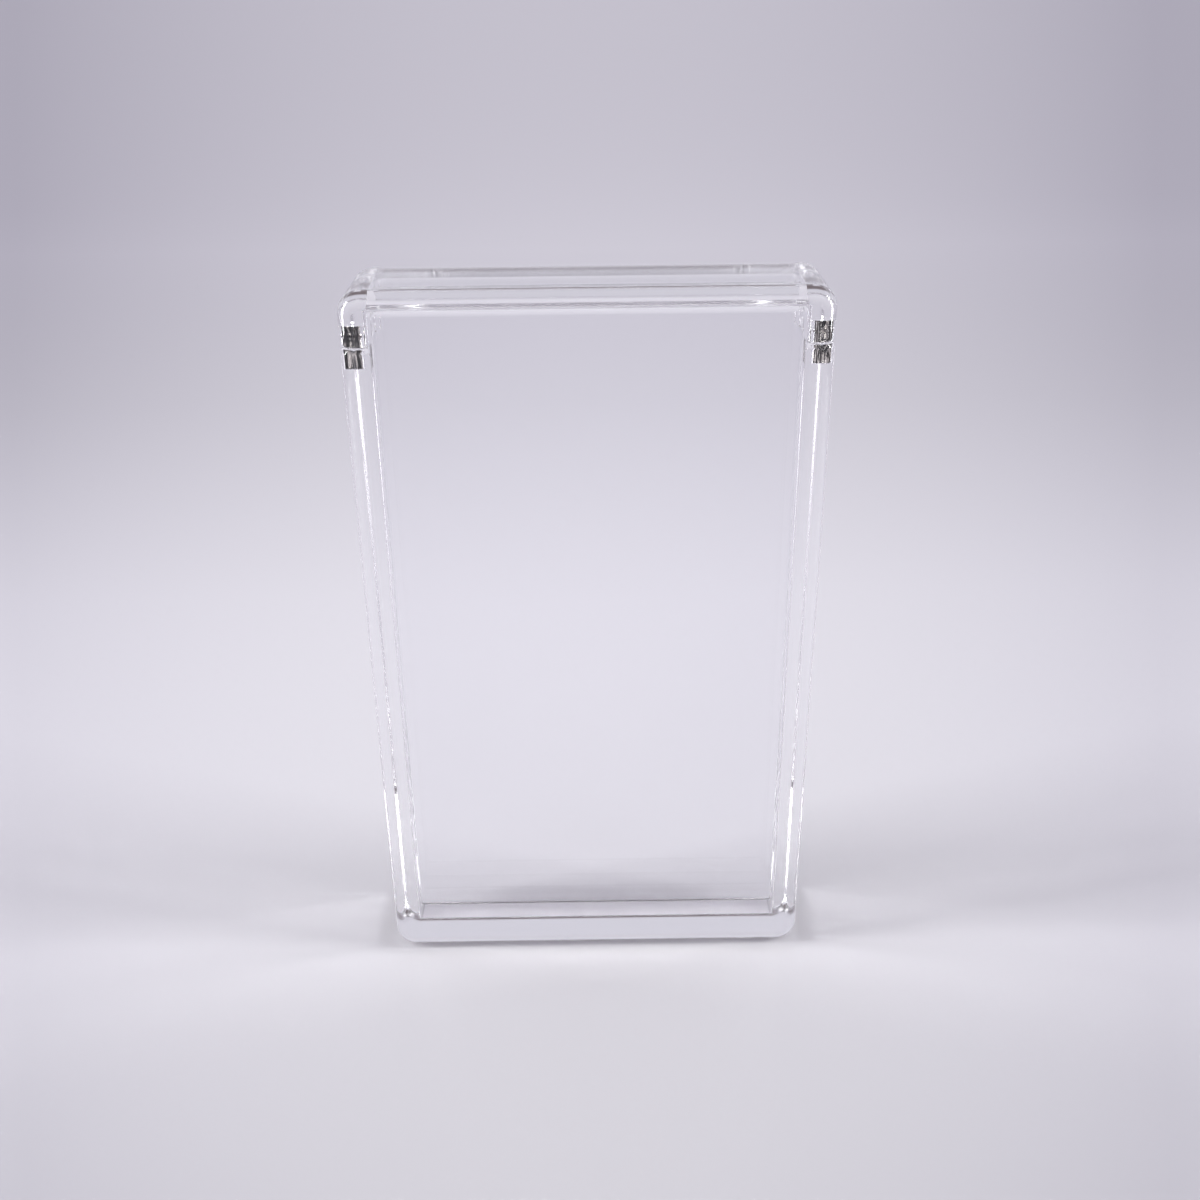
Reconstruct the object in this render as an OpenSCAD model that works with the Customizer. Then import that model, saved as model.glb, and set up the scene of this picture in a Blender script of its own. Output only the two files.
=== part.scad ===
// Upright clear display case for one sealed pack or sleeved trading card.
// A thick-walled body is closed by a lift-off lid: a plate with a leg at each end.
// The legs drop on to the side walls, where small magnets hold them.
// Millimetres. z = 0 is the surface the case stands on, x runs along its width
// and y from the front window (-) to the rear window (+).

/* [Case] */
// Overall width, side to side
case_w = 80; // [60:1:140]
// Overall depth, front window to rear window
case_d = 20; // [16:0.5:40]
// Overall height with the lid on
case_h = 132; // [90:1:220]
// Radius of the four corners, seen from the front
corner_r = 4; // [3.25:0.25:8]
// Radius of the long outer edges, all round both windows
edge_r = 2.75; // [1:0.25:3]

/* [Body] */
// Depth of the cavity, between the windows
cavity_d = 5; // [4.5:0.5:9]
// Thickness of each side wall
side_t = 4.25; // [4:0.25:10]
// Thickness of the floor under the cavity
floor_t = 3.75; // [3.25:0.25:8]
// Radius in the corners of the cavity
cavity_r = 0.5; // [0.5:0.25:2]
// Radius of the windows' inner top edges, where the pack is let in
mouth_r = 0.5; // [0.2:0.1:0.8]
// Radius of the body's outer top edges, along the parting line
rim_r = 1; // [0.2:0.1:1]

/* [Lid] */
// Thickness of the lid plate, over the windows
lid_t = 3; // [2.5:0.25:5]
// Height of the lid's legs, from the top of the lid
leg_h = 9; // [7:0.5:16]
// How far each leg reaches in past the side wall under it
leg_lap = 0.5; // [0:0.1:1.5]
// Radius of the lid's lower edges, along the parting line
lip_r = 0.4; // [0.2:0.1:1]
// Radius of the upright edges where legs and windows meet
seam_r = 0.4; // [0.1:0.1:0.6]
// Gap between lid and body, all along the parting line
parting_gap = 0.1; // [0.05:0.05:0.3]

/* [Magnets] */
// Diameter of each magnet
magnet_d = 2; // [1.5:0.25:3]
// Height of each magnet in the lid
lid_magnet_h = 2; // [1:0.5:5]
// Height of each magnet in the body
body_magnet_h = 5; // [2:0.5:8]
// Width of the bevel round both ends of a magnet
magnet_bevel = 0.1; // [0.05:0.05:0.3]
// Radial clearance between magnet and bore
bore_gap = 0.05; // [0.02:0.01:0.2]

/* [Hidden] */
$fn = 48;
// inner face of the side walls, of the legs, and the windows' ends beside the legs
wall_x = case_w / 2 - side_t;
leg_x = wall_x - leg_lap;
window_x = leg_x - parting_gap;
// levels of the parting line, on the side walls and over the windows
side_z = case_h - leg_h;
window_z = case_h - lid_t;
// how far a cutting shape runs past the face it cuts
past = 1;

// Rectangle about the origin with round corners
module rounded_rect(x, y, r) {
    square([x - 2 * r, y], center = true);
    square([x, y - 2 * r], center = true);
    for (sx = [-1, 1], sy = [-1, 1])
        translate([sx * (x / 2 - r), sy * (y / 2 - r)])
            circle(r);
}

// Rectangle on y = 0, its two lower corners rounded
module footed_rect(x, h, r) {
    if (x > 2 * r)
        translate([-x / 2 + r, 0])
            square([x - 2 * r, h]);
    translate([-x / 2, r])
        square([x, h - r]);
    for (sx = [-1, 1])
        translate([sx * (x / 2 - r), r])
            circle(r);
}

// Slab standing on z = 0: outline corners of radius big_r, all its edges rounded by small_r
module rounded_slab(w, d, h, big_r, small_r) {
    // upright run
    translate([0, 0, big_r])
        linear_extrude(h - 2 * big_r)
            rounded_rect(w, d, small_r);
    // level run
    translate([-(w / 2 - big_r), 0, h / 2])
        rotate([90, 0, 90])
            linear_extrude(w - 2 * big_r)
                rounded_rect(d, h, small_r);
    // corners
    for (sx = [-1, 1], z = [big_r, h - big_r])
        translate([sx * (w / 2 - big_r), 0, z])
            rotate([90, 0, 0])
                rotate_extrude()
                    intersection() {
                        rounded_rect(2 * big_r, d, small_r);
                        translate([0, -d])
                            square([2 * big_r, 2 * d]);
                    }
}

// Block on z = 0: upright edges of radius upright_r, lower edges of radius foot_r,
// which follows the corners round and is the smaller of the two
module block(w, d, h, upright_r, foot_r) {
    for (sx = [-1, 1], sy = [-1, 1])
        translate([sx * (w / 2 - upright_r), sy * (d / 2 - upright_r), 0])
            rotate_extrude()
                intersection() {
                    footed_rect(2 * upright_r, h, foot_r);
                    square([upright_r, h]);
                }
    translate([-w / 2 + upright_r, 0, 0])
        rotate([90, 0, 90])
            linear_extrude(w - 2 * upright_r)
                footed_rect(d, h, foot_r);
    translate([0, d / 2 - upright_r, 0])
        rotate([90, 0, 0])
            linear_extrude(d - 2 * upright_r)
                footed_rect(w, h, foot_r);
}

// Block on z = 0 whose upright edges are the sharper ones: three crossing profiles
module tongue(w, d, h, upright_r, foot_r) {
    intersection() {
        linear_extrude(h)
            rounded_rect(w, d, upright_r);
        translate([0, d / 2, 0])
            rotate([90, 0, 0])
                linear_extrude(d)
                    footed_rect(w, h, foot_r);
        translate([-w / 2, 0, 0])
            rotate([90, 0, 90])
                linear_extrude(w)
                    footed_rect(d, h, foot_r);
    }
}

// Everything lies inside this form
module outer_form() {
    rounded_slab(case_w, case_d, case_h, corner_r, edge_r);
}

// Prism along x that rounds off the windows' inner top edges
module cavity_mouth() {
    translate([-case_w / 2, 0, window_z - mouth_r])
        rotate([90, 0, 90])
            linear_extrude(case_w)
                difference() {
                    translate([-cavity_d / 2 - mouth_r, 0])
                        square([cavity_d + 2 * mouth_r, mouth_r + past]);
                    for (sy = [-1, 1])
                        translate([sy * (cavity_d / 2 + mouth_r), 0])
                            circle(mouth_r);
                }
}

// On the middle of a side wall's top: side is -1 on the left and 1 on the right
module magnet_place(side) {
    translate([side * (case_w - side_t) / 2, 0, side_z])
        children();
}

// Magnet on z = 0, bevelled at both ends
module magnet(h) {
    color("silver")
        rotate_extrude()
            polygon([
                [0, 0],
                [magnet_d / 2 - magnet_bevel, 0],
                [magnet_d / 2, magnet_bevel],
                [magnet_d / 2, h - magnet_bevel],
                [magnet_d / 2 - magnet_bevel, h],
                [0, h]
            ]);
}

module case_body() {
    color("white", 0.3)
        difference() {
            union() {
                // up to the tops of the side walls
                intersection() {
                    outer_form();
                    translate([0, 0, side_z])
                        mirror([0, 0, 1])
                            block(case_w, case_d, side_z, edge_r, rim_r);
                }
                // the windows stand on between the lid's legs
                translate([0, 0, window_z])
                    mirror([0, 0, 1])
                        tongue(2 * window_x, case_d, window_z - side_z + case_h / 2, seam_r, rim_r);
            }
            translate([0, 0, floor_t])
                block(2 * wall_x, cavity_d, case_h, cavity_r, cavity_r);
            cavity_mouth();
            for (side = [-1, 1])
                magnet_place(side)
                    translate([0, 0, -body_magnet_h])
                        cylinder(d = magnet_d + 2 * bore_gap, h = body_magnet_h + past);
        }
}

module lid() {
    leg_w = case_w / 2 - leg_x;
    color("white", 0.3)
        difference() {
            intersection() {
                outer_form();
                union() {
                    translate([0, 0, window_z + parting_gap])
                        block(case_w, case_d, lid_t, edge_r, lip_r);
                    translate([0, 0, side_z + parting_gap])
                        intersection() {
                            block(case_w, case_d, leg_h, edge_r, lip_r);
                            for (side = [-1, 1])
                                translate([side * case_w / 2, 0, 0])
                                    tongue(2 * leg_w, case_d, leg_h, seam_r, lip_r);
                        }
                }
            }
            for (side = [-1, 1])
                magnet_place(side)
                    translate([0, 0, -past])
                        cylinder(d = magnet_d + 2 * bore_gap, h = past + parting_gap + lid_magnet_h);
        }
}

module lid_magnet(side) {
    magnet_place(side)
        translate([0, 0, parting_gap])
            magnet(lid_magnet_h);
}

module body_magnet(side) {
    magnet_place(side)
        translate([0, 0, -body_magnet_h])
            magnet(body_magnet_h);
}

case_body();
lid();
lid_magnet(-1);  // lid_magnet_left
lid_magnet(1);  // lid_magnet_right
body_magnet(-1);  // body_magnet_left
body_magnet(1);  // body_magnet_right
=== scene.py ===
"""Looks of a clear acrylic display case for one sealed pack or sleeved trading card."""

import math

import bmesh
import bpy
from mathutils import Matrix, Vector


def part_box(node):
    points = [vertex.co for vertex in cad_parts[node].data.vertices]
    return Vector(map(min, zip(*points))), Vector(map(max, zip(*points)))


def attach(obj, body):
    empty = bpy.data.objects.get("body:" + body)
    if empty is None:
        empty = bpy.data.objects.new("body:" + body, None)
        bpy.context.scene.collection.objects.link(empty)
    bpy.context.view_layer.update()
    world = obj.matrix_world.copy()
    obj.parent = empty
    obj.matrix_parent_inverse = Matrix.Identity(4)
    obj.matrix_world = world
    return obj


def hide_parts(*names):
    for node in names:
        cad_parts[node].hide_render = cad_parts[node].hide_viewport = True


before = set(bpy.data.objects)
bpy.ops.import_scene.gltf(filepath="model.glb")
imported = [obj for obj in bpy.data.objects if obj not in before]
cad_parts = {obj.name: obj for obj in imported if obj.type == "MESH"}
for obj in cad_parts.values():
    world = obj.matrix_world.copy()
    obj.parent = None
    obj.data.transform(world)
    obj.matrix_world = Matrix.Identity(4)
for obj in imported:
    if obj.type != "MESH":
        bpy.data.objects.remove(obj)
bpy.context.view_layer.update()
scene = bpy.context.scene
MM = 0.001


# ---------------------------------------------------------------- case body
# One block: front and rear windows, two side walls and a floor round a deep slot.
# Cast clear acrylic, machined to shape and then polished all over.
# Made again here from finer lofts of the same sizes, because clear walls bend light at each facet.
CORNER_R_MM = 4.0
EDGE_R_MM = 2.75
RIM_R_MM = 1.0
SEAM_R_MM = 0.4
SIDE_T_MM = 4.25
FLOOR_T_MM = 3.75
CAVITY_D_MM = 5.0
CAVITY_R_MM = 0.5
MOUTH_R_MM = 0.5
LEG_LAP_MM = 0.5
BORE_GAP_MM = 0.05
# how far a cutting solid runs past the face that it cuts
PAST_MM = 1.0
# corners closer together than this become one
WELD_MM = 0.0001
ARC_STEPS = 16
SHARP_DEG = 30.0
ACRYLIC_IOR = 1.49
ACRYLIC_CLEAR = "#FEFEFF"
POLISH_ROUGHNESS = 0.004
HAZE_ROUGHNESS = 0.03
HAZE_PATCH_MM = 9.0
HAZE_PEAKS = (0.5, 0.85)
HAZE_SHARE = 0.6
HAIRLINE_PITCH_MM = 0.35
HAIRLINE_STRETCH = 0.03
HAIRLINE_TILT_RAD = 0.5
HAIRLINE_PEAKS = (0.62, 0.8)
HAIRLINE_SHARE = 0.4
WAVE_LENGTH_MM = 45.0
WAVE_HEIGHT_MM = 0.004


def box_mm(node):
    """A node's lowest and highest corners at rest, in millimetres."""
    return [Vector(corner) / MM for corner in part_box(node)]


body_low, body_high = box_mm("case_body")
lid_low, lid_high = box_mm("lid")
side_top = box_mm("body_magnet_right")[1].z
parting_gap = lid_low.z - side_top
case_w, case_d = body_high.x - body_low.x, body_high.y - body_low.y
wall_x = case_w / 2 - SIDE_T_MM
leg_x = wall_x - LEG_LAP_MM
window_x = leg_x - parting_gap


def rounding(level, radius, way=1):
    """Levels and insets of a quarter round that closes at a level, upwards (1) or downwards (-1)."""
    angles = [math.radians(90 * step / ARC_STEPS) for step in range(ARC_STEPS + 1)]
    arc = [(level - way * radius * (1 - math.sin(a)), radius * (1 - math.cos(a))) for a in angles]
    return arc[::way]


def loft(width, depth, radius, levels, x=0.0):
    """A solid of stacked rectangles with round corners, each drawn in by its level's inset."""
    shape = bmesh.new()
    rings = []
    for level, inset in levels:
        round_r = max(radius - inset, 0.0)
        ring = []
        for quarter, (side_x, side_y) in enumerate(((1, 1), (-1, 1), (-1, -1), (1, -1))):
            centre_x = x + side_x * (width / 2 - inset - round_r)
            centre_y = side_y * (depth / 2 - inset - round_r)
            for step in range(ARC_STEPS + 1):
                angle = math.radians(90 * (quarter + step / ARC_STEPS))
                point_x = centre_x + round_r * math.cos(angle)
                point_y = centre_y + round_r * math.sin(angle)
                ring.append(shape.verts.new((point_x, point_y, level)))
        rings.append(ring)
    for below, above in zip(rings, rings[1:]):
        for number in range(len(below)):
            shape.faces.new((below[number - 1], below[number], above[number], above[number - 1]))
    shape.faces.new(rings[0])
    shape.faces.new(rings[-1])
    bmesh.ops.remove_doubles(shape, verts=shape.verts, dist=WELD_MM)
    bmesh.ops.recalc_face_normals(shape, faces=shape.faces)
    mesh = bpy.data.meshes.new("loft")
    shape.to_mesh(mesh)
    shape.free()
    solid = bpy.data.objects.new("loft", mesh)
    scene.collection.objects.link(solid)
    return solid


def outer_form():
    """The closed case as one slab, its outline corners and its long edges rounded."""
    depths = rounding(-case_d / 2, EDGE_R_MM, -1) + rounding(case_d / 2, EDGE_R_MM)
    slab = loft(case_w, lid_high.z, CORNER_R_MM, depths)
    upright = Matrix.Rotation(math.radians(90), 4, "X")
    slab.data.transform(Matrix.Translation((0, 0, lid_high.z / 2)) @ upright)
    return slab


def carve(solid, operation, *others):
    """Joins other solids to one, keeps what they share or cuts them out, and uses them up."""
    for other in others:
        step = solid.modifiers.new(operation.lower(), "BOOLEAN")
        step.operation = operation
        step.solver = "MANIFOLD"
        step.object = other
    result = solid.evaluated_get(bpy.context.evaluated_depsgraph_get())
    solid.data = bpy.data.meshes.new_from_object(result)
    solid.modifiers.clear()
    for other in others:
        bpy.data.objects.remove(other)
    return solid


def bores(magnet, start, end):
    """A blind bore for each of a pair of magnets, with a little air all round."""
    low, high = box_mm(magnet + "_right")
    bore_d = high.x - low.x + 2 * BORE_GAP_MM
    centre_x = (low.x + high.x) / 2
    return [loft(bore_d, bore_d, bore_d / 2, [(start, 0), (end, 0)], x) for x in (-centre_x, centre_x)]


def clear_piece(solid, name, body):
    """Scales a finished solid to metres, shades its rounds smooth and puts it for its CAD node."""
    solid.name = name + "_clear"
    solid.data.transform(Matrix.Scale(MM, 4))
    solid.data.shade_smooth()
    solid.data.set_sharp_from_angle(angle=math.radians(SHARP_DEG))
    flats = solid.modifiers.new("flats", "WEIGHTED_NORMAL")
    flats.keep_sharp = True
    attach(solid, body)
    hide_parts(name)
    return solid


def case_body():
    """Side walls up to the lid's legs and windows on between them, round a cavity open at the top."""
    walls = loft(case_w, case_d, EDGE_R_MM, [(-PAST_MM, 0)] + rounding(side_top, RIM_R_MM))
    window_levels = [(side_top / 2, 0)] + rounding(body_high.z, RIM_R_MM)
    windows = loft(2 * window_x, case_d, SEAM_R_MM, window_levels)
    mouth = [(level, -inset) for level, inset in rounding(body_high.z, MOUTH_R_MM)]
    mouth.append((body_high.z + PAST_MM, -MOUTH_R_MM))
    cavity = loft(2 * wall_x, CAVITY_D_MM, CAVITY_R_MM, rounding(FLOOR_T_MM, CAVITY_R_MM, -1) + mouth)
    bore_foot = box_mm("body_magnet_right")[0].z - BORE_GAP_MM
    carve(walls, "UNION", windows)
    carve(walls, "INTERSECT", outer_form())
    return carve(walls, "DIFFERENCE", cavity, *bores("body_magnet", bore_foot, side_top + PAST_MM))


def linear(hex_colour, alpha=1.0):
    """An sRGB hex colour as the linear values that a shader takes."""
    parts = [int(hex_colour[i : i + 2], 16) / 255 for i in (1, 3, 5)]
    return [p / 12.92 if p <= 0.04045 else ((p + 0.055) / 1.055) ** 2.4 for p in parts] + [alpha]


def add_node(tree, kind, inputs=(), **settings):
    """Adds a node, sets its properties, and sets or links its inputs by name or number."""
    node = tree.nodes.new(kind)
    for name, value in settings.items():
        setattr(node, name, value)
    for name, value in dict(inputs).items():
        if isinstance(value, bpy.types.NodeSocket):
            tree.links.new(value, node.inputs[name])
        else:
            node.inputs[name].default_value = value
    return node


def new_material(name):
    """A material and its node tree, still empty."""
    material = bpy.data.materials.new(name)
    material.use_nodes = True
    material.node_tree.nodes.clear()
    return material, material.node_tree


def wear(obj, material):
    """The whole piece is made of this material."""
    obj.data.materials.clear()
    obj.data.materials.append(material)


def polished_acrylic():
    """Clear all through; a polish leaves hairlines and a faint haze that only a highlight shows."""
    # real hairlines are finer: these are as coarse as they need to be to show
    material, tree = new_material("Polished clear acrylic")
    place = add_node(tree, "ShaderNodeTexCoord").outputs["Object"]
    haze = add_node(
        tree,
        "ShaderNodeTexNoise",
        {"Vector": place, "Scale": 1 / (HAZE_PATCH_MM * MM), "Detail": 4.0, "Roughness": 0.6},
    )
    stretched = add_node(
        tree,
        "ShaderNodeMapping",
        {
            "Vector": place,
            "Rotation": (0.0, HAIRLINE_TILT_RAD, 0.0),
            "Scale": (1.0, 1.0, HAIRLINE_STRETCH),
        },
    )
    hairlines = add_node(
        tree,
        "ShaderNodeTexNoise",
        {"Vector": stretched.outputs[0], "Scale": 1 / (HAIRLINE_PITCH_MM * MM), "Detail": 1.0},
    )
    hairline_peaks = add_node(
        tree,
        "ShaderNodeMapRange",
        {
            "Value": hairlines.outputs[0],
            "From Min": HAIRLINE_PEAKS[0],
            "From Max": HAIRLINE_PEAKS[1],
            "To Max": HAIRLINE_SHARE,
        },
    )
    haze_peaks = add_node(
        tree,
        "ShaderNodeMapRange",
        {
            "Value": haze.outputs[0],
            "From Min": HAZE_PEAKS[0],
            "From Max": HAZE_PEAKS[1],
            "To Max": HAZE_SHARE,
        },
    )
    marks = add_node(
        tree,
        "ShaderNodeMath",
        {0: hairline_peaks.outputs[0], 1: haze_peaks.outputs[0]},
        operation="ADD",
    )
    roughness = add_node(
        tree,
        "ShaderNodeMapRange",
        {"Value": marks.outputs[0], "To Min": POLISH_ROUGHNESS, "To Max": HAZE_ROUGHNESS},
    )
    waves = add_node(
        tree,
        "ShaderNodeTexNoise",
        {"Vector": place, "Scale": 1 / (WAVE_LENGTH_MM * MM), "Detail": 0.0},
    )
    waviness = add_node(
        tree,
        "ShaderNodeBump",
        {"Height": waves.outputs[0], "Strength": 1.0, "Distance": WAVE_HEIGHT_MM * MM},
    )
    shader = add_node(
        tree,
        "ShaderNodeBsdfPrincipled",
        {
            "Base Color": linear(ACRYLIC_CLEAR),
            "Roughness": roughness.outputs[0],
            "IOR": ACRYLIC_IOR,
            "Transmission Weight": 1.0,
            "Normal": waviness.outputs[0],
        },
    )
    add_node(tree, "ShaderNodeOutputMaterial", {"Surface": shader.outputs[0]})
    return material


acrylic = polished_acrylic()
wear(clear_piece(case_body(), "case_body", "case"), acrylic)


# ---------------------------------------------------------------- body magnets
# A pressed rare-earth cylinder in a blind bore at the top of each side wall.
# Plated with bright nickel, slightly warm, over the upright marks that the die left; painted
# reflections streak its colour in upright near-black and bright bands.
NICKEL = "#D2CCC4"
# near black: a painted dark reflection, not a colour that the plating has
NICKEL_PAINTED_DARK_REFLECTION = "#1F1C1C"
PAINTED_REFLECTION_SPREAD = (0.47, 0.57)
NICKEL_ROUGHNESS = (0.05, 0.12)
DIE_MARK_AND_PAINTED_BAND_MM = 0.3
DIE_MARK_AND_PAINTED_BAND_STRETCH = 0.08
DIE_MARK_DEPTH_MM = 0.01
MARK_STRENGTH = 0.3


def bright_nickel():
    """Mirror-like plating, broken up by the upright marks of the pressed magnet under it, with painted
    reflections in upright near-black and bright bands of colour.
    """
    # real die marks are finer: these are as coarse as they need to be to show; the same pattern paints
    # the upright bands of painted reflection into the colour
    material, tree = new_material("Bright nickel plate with painted reflections")
    place = add_node(tree, "ShaderNodeTexCoord").outputs["Object"]
    stretched = add_node(
        tree, "ShaderNodeMapping", {"Vector": place, "Scale": (1.0, 1.0, DIE_MARK_AND_PAINTED_BAND_STRETCH)}
    )
    marks = add_node(
        tree,
        "ShaderNodeTexNoise",
        {"Vector": stretched.outputs[0], "Scale": 1 / (DIE_MARK_AND_PAINTED_BAND_MM * MM), "Detail": 3.0},
    )
    # painted reflection: the colour runs from a near-black tone to bright nickel in upright bands
    colour = add_node(tree, "ShaderNodeValToRGB", {"Fac": marks.outputs[0]})
    for stop, at, tone in zip(colour.color_ramp.elements, PAINTED_REFLECTION_SPREAD, (NICKEL_PAINTED_DARK_REFLECTION, NICKEL)):
        stop.position = at
        stop.color = linear(tone)
    roughness = add_node(
        tree,
        "ShaderNodeMapRange",
        {"Value": marks.outputs[0], "To Min": NICKEL_ROUGHNESS[0], "To Max": NICKEL_ROUGHNESS[1]},
    )
    relief = add_node(
        tree,
        "ShaderNodeBump",
        {"Height": marks.outputs[0], "Strength": MARK_STRENGTH, "Distance": DIE_MARK_DEPTH_MM * MM},
    )
    shader = add_node(
        tree,
        "ShaderNodeBsdfPrincipled",
        {
            "Base Color": colour.outputs[0],
            "Metallic": 1.0,
            "Roughness": roughness.outputs[0],
            "Normal": relief.outputs[0],
        },
    )
    add_node(tree, "ShaderNodeOutputMaterial", {"Surface": shader.outputs[0]})
    return material


nickel = bright_nickel()
for side in ("left", "right"):
    wear(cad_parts["body_magnet_" + side], nickel)


# ---------------------------------------------------------------- lid
# One block: a plate over the windows with a leg at each end, over the side walls.
# The same polished acrylic as the body's, lofted and carved in the same way.
# It is loose, and only its weight and the magnets hold it.
LIP_R_MM = 0.4


def lid():
    """Plate and legs share the case's outer form; the legs' inner edges face the windows."""
    plate_foot = body_high.z + parting_gap
    plate_levels = rounding(plate_foot, LIP_R_MM, -1) + [(lid_high.z + PAST_MM, 0)]
    plate = loft(case_w, case_d, EDGE_R_MM, plate_levels)
    leg_levels = rounding(lid_low.z, LIP_R_MM, -1) + [((plate_foot + lid_high.z) / 2, 0)]
    legs = loft(case_w, case_d, EDGE_R_MM, leg_levels)
    leg_w = 2 * (case_w / 2 - leg_x)
    ends = [loft(leg_w, case_d, SEAM_R_MM, leg_levels, x) for x in (-case_w / 2, case_w / 2)]
    bore_end = box_mm("lid_magnet_right")[1].z + BORE_GAP_MM
    carve(legs, "INTERSECT", carve(ends[0], "UNION", ends[1]))
    carve(legs, "UNION", plate)
    carve(legs, "INTERSECT", outer_form())
    return carve(legs, "DIFFERENCE", *bores("lid_magnet", lid_low.z - PAST_MM, bore_end))


wear(clear_piece(lid(), "lid", "lid"), acrylic)


# ---------------------------------------------------------------- lid magnets
# A shorter magnet of the same stock in the foot of each leg, pole to pole with the body's.
# Nickel-plated too, and fixed in its blind bore in the same way.
for side in ("left", "right"):
    wear(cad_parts["lid_magnet_" + side], nickel)


# ---------------------------------------------------------------- table and backdrop
# A matt card under and behind the case, graded with painted shade and light: grey where the
# lamps are close and white far off, so that it looks nearly evenly lit, and darker towards its flanks.
# A white slip, hidden right under the case, gives back the light that comes down through the
# acrylic; being whiter than the card round it, it is also painted light under the case's foot.
GREY_LINE_MM = -70.0
# colours by distance from the grey line, in millimetres: painted shade near the lamps, painted light
# far off
CARD_GRADES = (
    (0.0, "#C1C0C3"),
    (120.0, "#D4D3D6"),
    (220.0, "#DEDDE0"),
    (410.0, "#E4E3E6"),
    (710.0, "#F8F7FA"),
)
# what the flanks are multiplied by, as painted shade, and the half width at which they have it, near
# and far
CARD_SIDES_PAINTED_SHADE = "#DEDDE2"
HALF_WIDTH_MM = (92.0, 1970.0)
HALF_WIDTH_AT_MM = (0.0, 5000.0)
# how much of that shows near and far, and from just outside to three half widths out
SIDES_SHARE = (0.75, 1.0)
SIDES_SHARE_AT_MM = (420.0, 870.0)
BEYOND_SHARE = (1.0, 0.3)
BEYOND_AT = (1.2, 3.0)
# the slip's colours, whiter than the card round it: painted light under the case's foot
SLIP_GRADES = ((60.0, "#F8F7F9"), (80.0, "#FBFAFC"))
SLIP_MM = (71.0, 15.6)
SLIP_DROP_MM = 0.15
CARD_GRAIN_MM = 0.6
CARD_TOOTH_MM = 0.02
TOOTH_STRENGTH = 0.3
CARD_ROUGHNESS = 0.85
TABLE_DROP_MM = 0.3
TABLE_HALF_M = 6.0


def painted_light_and_shade_card(name, card_grades):
    """Card that whitens away from its grey line, to both sides, and darkens towards its flanks:
    painted light and painted shade.
    """
    # real fibres are finer: these are as coarse as they need to be to show
    material, tree = new_material(name)
    place = add_node(tree, "ShaderNodeTexCoord").outputs["Object"]
    from_line = add_node(
        tree,
        "ShaderNodeMapping",
        {"Vector": place, "Location": (0.0, -GREY_LINE_MM, 0.0), "Scale": (1 / MM, 1 / MM, 1 / MM)},
    )
    distances = add_node(tree, "ShaderNodeVectorMath", {0: from_line.outputs[0]}, operation="ABSOLUTE")
    aside_away = add_node(tree, "ShaderNodeSeparateXYZ", {0: distances.outputs[0]})
    aside, away = aside_away.outputs["X"], aside_away.outputs["Y"]

    first, last = card_grades[0][0], card_grades[-1][0]
    along = add_node(tree, "ShaderNodeMapRange", {"Value": away, "From Min": first, "From Max": last})
    # painted shade and light: the card's colour changes with distance from the grey line
    grades = add_node(tree, "ShaderNodeValToRGB", {"Fac": along.outputs[0]})
    stops = grades.color_ramp.elements
    for number, (at_mm, colour) in enumerate(card_grades):
        share = (at_mm - first) / (last - first)
        stop = stops.new(share) if 0 < number < len(card_grades) - 1 else stops[-1 if number else 0]
        stop.position = share
        stop.color = linear(colour)

    half_width = add_node(
        tree,
        "ShaderNodeMapRange",
        {
            "Value": away,
            "From Min": HALF_WIDTH_AT_MM[0],
            "From Max": HALF_WIDTH_AT_MM[1],
            "To Min": HALF_WIDTH_MM[0],
            "To Max": HALF_WIDTH_MM[1],
        },
    )
    outward = add_node(
        tree, "ShaderNodeMath", {0: aside, 1: half_width.outputs[0]}, operation="DIVIDE"
    ).outputs[0]
    flank = add_node(
        tree, "ShaderNodeMath", {0: outward, 1: outward}, operation="MULTIPLY", use_clamp=True
    )
    beyond = add_node(
        tree,
        "ShaderNodeMapRange",
        {
            "Value": outward,
            "From Min": BEYOND_AT[0],
            "From Max": BEYOND_AT[1],
            "To Min": BEYOND_SHARE[0],
            "To Max": BEYOND_SHARE[1],
        },
    )
    sides = add_node(
        tree,
        "ShaderNodeMapRange",
        {
            "Value": away,
            "From Min": SIDES_SHARE_AT_MM[0],
            "From Max": SIDES_SHARE_AT_MM[1],
            "To Min": SIDES_SHARE[0],
            "To Max": SIDES_SHARE[1],
        },
    )
    # painted shade: the flanks are multiplied darker, less so far beyond them
    flank_painted_shade = flank.outputs[0]
    for factor in (beyond, sides):
        flank_painted_shade = add_node(
            tree, "ShaderNodeMath", {0: flank_painted_shade, 1: factor.outputs[0]}, operation="MULTIPLY"
        ).outputs[0]
    colour = add_node(
        tree,
        "ShaderNodeMix",
        {0: flank_painted_shade, 6: grades.outputs[0], 7: linear(CARD_SIDES_PAINTED_SHADE)},
        data_type="RGBA",
        blend_type="MULTIPLY",
    ).outputs[2]

    fibres = add_node(
        tree,
        "ShaderNodeTexNoise",
        {"Vector": place, "Scale": 1 / (CARD_GRAIN_MM * MM), "Detail": 2.0},
    )
    tooth = add_node(
        tree,
        "ShaderNodeBump",
        {"Height": fibres.outputs[0], "Strength": TOOTH_STRENGTH, "Distance": CARD_TOOTH_MM * MM},
    )
    shader = add_node(
        tree,
        "ShaderNodeBsdfPrincipled",
        {"Base Color": colour, "Roughness": CARD_ROUGHNESS, "Normal": tooth.outputs[0]},
    )
    add_node(tree, "ShaderNodeOutputMaterial", {"Surface": shader.outputs[0]})
    return material


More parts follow.
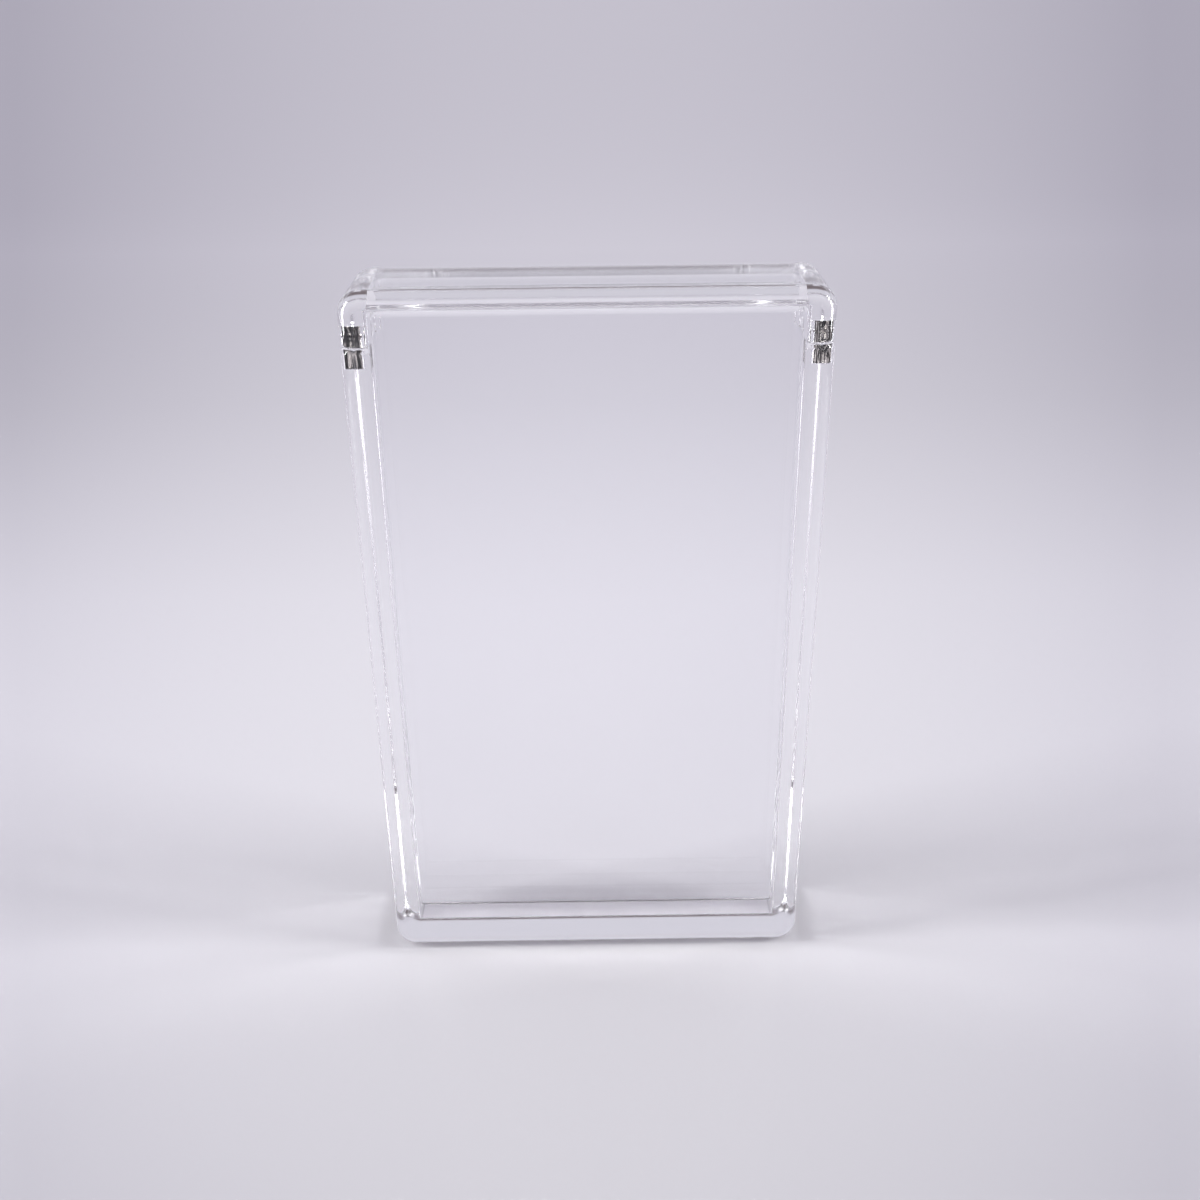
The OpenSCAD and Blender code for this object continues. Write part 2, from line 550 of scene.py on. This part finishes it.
def sheet(name, half_x, half_y, drop_mm, material):
    """A flat sheet about the case's middle, a little below its underside, as part of the stage."""
    mesh = bpy.data.meshes.new(name)
    corners = [(-1, -1), (1, -1), (1, 1), (-1, 1)]
    mesh.from_pydata([(x * half_x, y * half_y, -drop_mm * MM) for x, y in corners], [], [(0, 1, 2, 3)])
    piece = bpy.data.objects.new(name, mesh)
    scene.collection.objects.link(piece)
    wear(piece, material)


sheet("table", TABLE_HALF_M, TABLE_HALF_M, TABLE_DROP_MM, painted_light_and_shade_card("Matt card graded with painted shade and light", CARD_GRADES))
painted_light_slip_card = painted_light_and_shade_card("Matt white card painted lighter under the case", SLIP_GRADES)
sheet("slip", SLIP_MM[0] / 2 * MM, SLIP_MM[1] / 2 * MM, SLIP_DROP_MM, painted_light_slip_card)


# ---------------------------------------------------------------- lamps
# Two upright soft boxes left and right of the case, out of the picture. The room is pale
# at the rear and greyer at the front and overhead. The camera and every clear or bright
# surface see a plain pale backdrop in its place, which is darker high up.
ROOM_REAR = "#D8D6DE"
ROOM_CEILING = "#C4C1CB"
ROOM_FRONT = "#AAA7B2"
ROOM_LEVEL = 1.08
BACKGROUND = "#CBC9D3"
BACKGROUND_ABOVE = "#6E6468"
# the part of a direction along Z or Y at which each change of colour starts and ends
CEILING_FROM = (0.35, 0.85)
FRONT_FROM = (0.25, -0.3)
ABOVE_FROM = (0.69, 0.76)
BOX_POWERS_W = (2.4, 2.0)
BOX_DEPTH_M = 0.1
BOX_HEIGHT_M = 0.4
BOX_AT_M = (0.42, -0.07)
BOX_FOOT_M = 0.02

for side, power in zip((-1, 1), BOX_POWERS_W):
    lamp = bpy.data.lights.new("soft_box", "AREA")
    lamp.shape = "RECTANGLE"
    lamp.size = BOX_DEPTH_M
    lamp.size_y = BOX_HEIGHT_M
    lamp.energy = power
    holder = bpy.data.objects.new("soft_box", lamp)
    scene.collection.objects.link(holder)
    holder.location = (side * BOX_AT_M[0], BOX_AT_M[1], BOX_FOOT_M + BOX_HEIGHT_M / 2)
    holder.rotation_euler = (math.radians(90), 0, side * math.radians(90))
    holder.visible_camera = False

world = bpy.data.worlds.new("room")
world.use_nodes = True
scene.world = world
room_tree = world.node_tree
room_tree.nodes.clear()
direction = add_node(room_tree, "ShaderNodeTexCoord").outputs["Generated"]
axes = add_node(room_tree, "ShaderNodeSeparateXYZ", {0: direction})


def fade(axis, from_to, start, end):
    """Goes softly from one colour to another as a direction's part along an axis changes."""
    share = add_node(
        room_tree,
        "ShaderNodeMapRange",
        {"Value": axes.outputs[axis], "From Min": from_to[0], "From Max": from_to[1]},
        interpolation_type="SMOOTHSTEP",
    ).outputs[0]
    return add_node(
        room_tree, "ShaderNodeMix", {0: share, 6: start, 7: end}, data_type="RGBA"
    ).outputs[2]


walls = fade("Y", FRONT_FROM, linear(ROOM_REAR), linear(ROOM_FRONT))
room = fade("Z", CEILING_FROM, walls, linear(ROOM_CEILING))
backdrop = fade("Z", ABOVE_FROM, linear(BACKGROUND), linear(BACKGROUND_ABOVE))
rays = add_node(room_tree, "ShaderNodeLightPath").outputs
direct = rays["Is Camera Ray"]
for kind in ("Is Glossy Ray", "Is Transmission Ray"):
    direct = add_node(
        room_tree, "ShaderNodeMath", {0: direct, 1: rays[kind]}, operation="MAXIMUM"
    ).outputs[0]
seen = add_node(
    room_tree, "ShaderNodeMix", {0: direct, 6: room, 7: backdrop}, data_type="RGBA"
).outputs[2]
glow = add_node(room_tree, "ShaderNodeBackground", {"Color": seen, "Strength": ROOM_LEVEL})
add_node(room_tree, "ShaderNodeOutputWorld", {"Surface": glow.outputs[0]})


# ---------------------------------------------------------------- camera
# A short lens in front of the case and above it, looking down on it: the upright edges
# draw together towards the foot. It is turned a little, as a hand-held camera is.
SENSOR_MM = 36.0
LENS_MM = 40.5
CLIP_START_MM = 1.0
CAMERA_AT_MM = (0.5, -221.0, 183.65)
LOOK_DOWN_DEG = 26.67
LOOK_LEFT_DEG = -0.27
ROLL_DEG = -0.643
LIGHT_BOUNCES = 64
GLOSSY_BOUNCES = 32

down, left, roll = (math.radians(v) for v in (LOOK_DOWN_DEG, LOOK_LEFT_DEG, ROLL_DEG))
ahead = Vector((-math.sin(left) * math.cos(down), math.cos(left) * math.cos(down), -math.sin(down)))
level = Vector((math.cos(left), math.sin(left), 0))
across = level * math.cos(roll) + level.cross(ahead) * math.sin(roll)
upward = across.cross(ahead)
lens = bpy.data.cameras.new("camera")
lens.sensor_width = SENSOR_MM
lens.lens = LENS_MM
lens.clip_start = CLIP_START_MM * MM
camera = bpy.data.objects.new("camera", lens)
scene.collection.objects.link(camera)
turn = Matrix((across, upward, -ahead)).transposed()
camera.matrix_world = Matrix.Translation(Vector(CAMERA_AT_MM) * MM) @ turn.to_4x4()
scene.camera = camera
scene.view_settings.view_transform = "Standard"
# light crosses many polished faces before it leaves the case again
scene.cycles.max_bounces = LIGHT_BOUNCES
scene.cycles.transmission_bounces = LIGHT_BOUNCES
scene.cycles.glossy_bounces = GLOSSY_BOUNCES
# unblurred, so the clear walls pass their light on to the sheet
scene.cycles.blur_glossy = 0.0
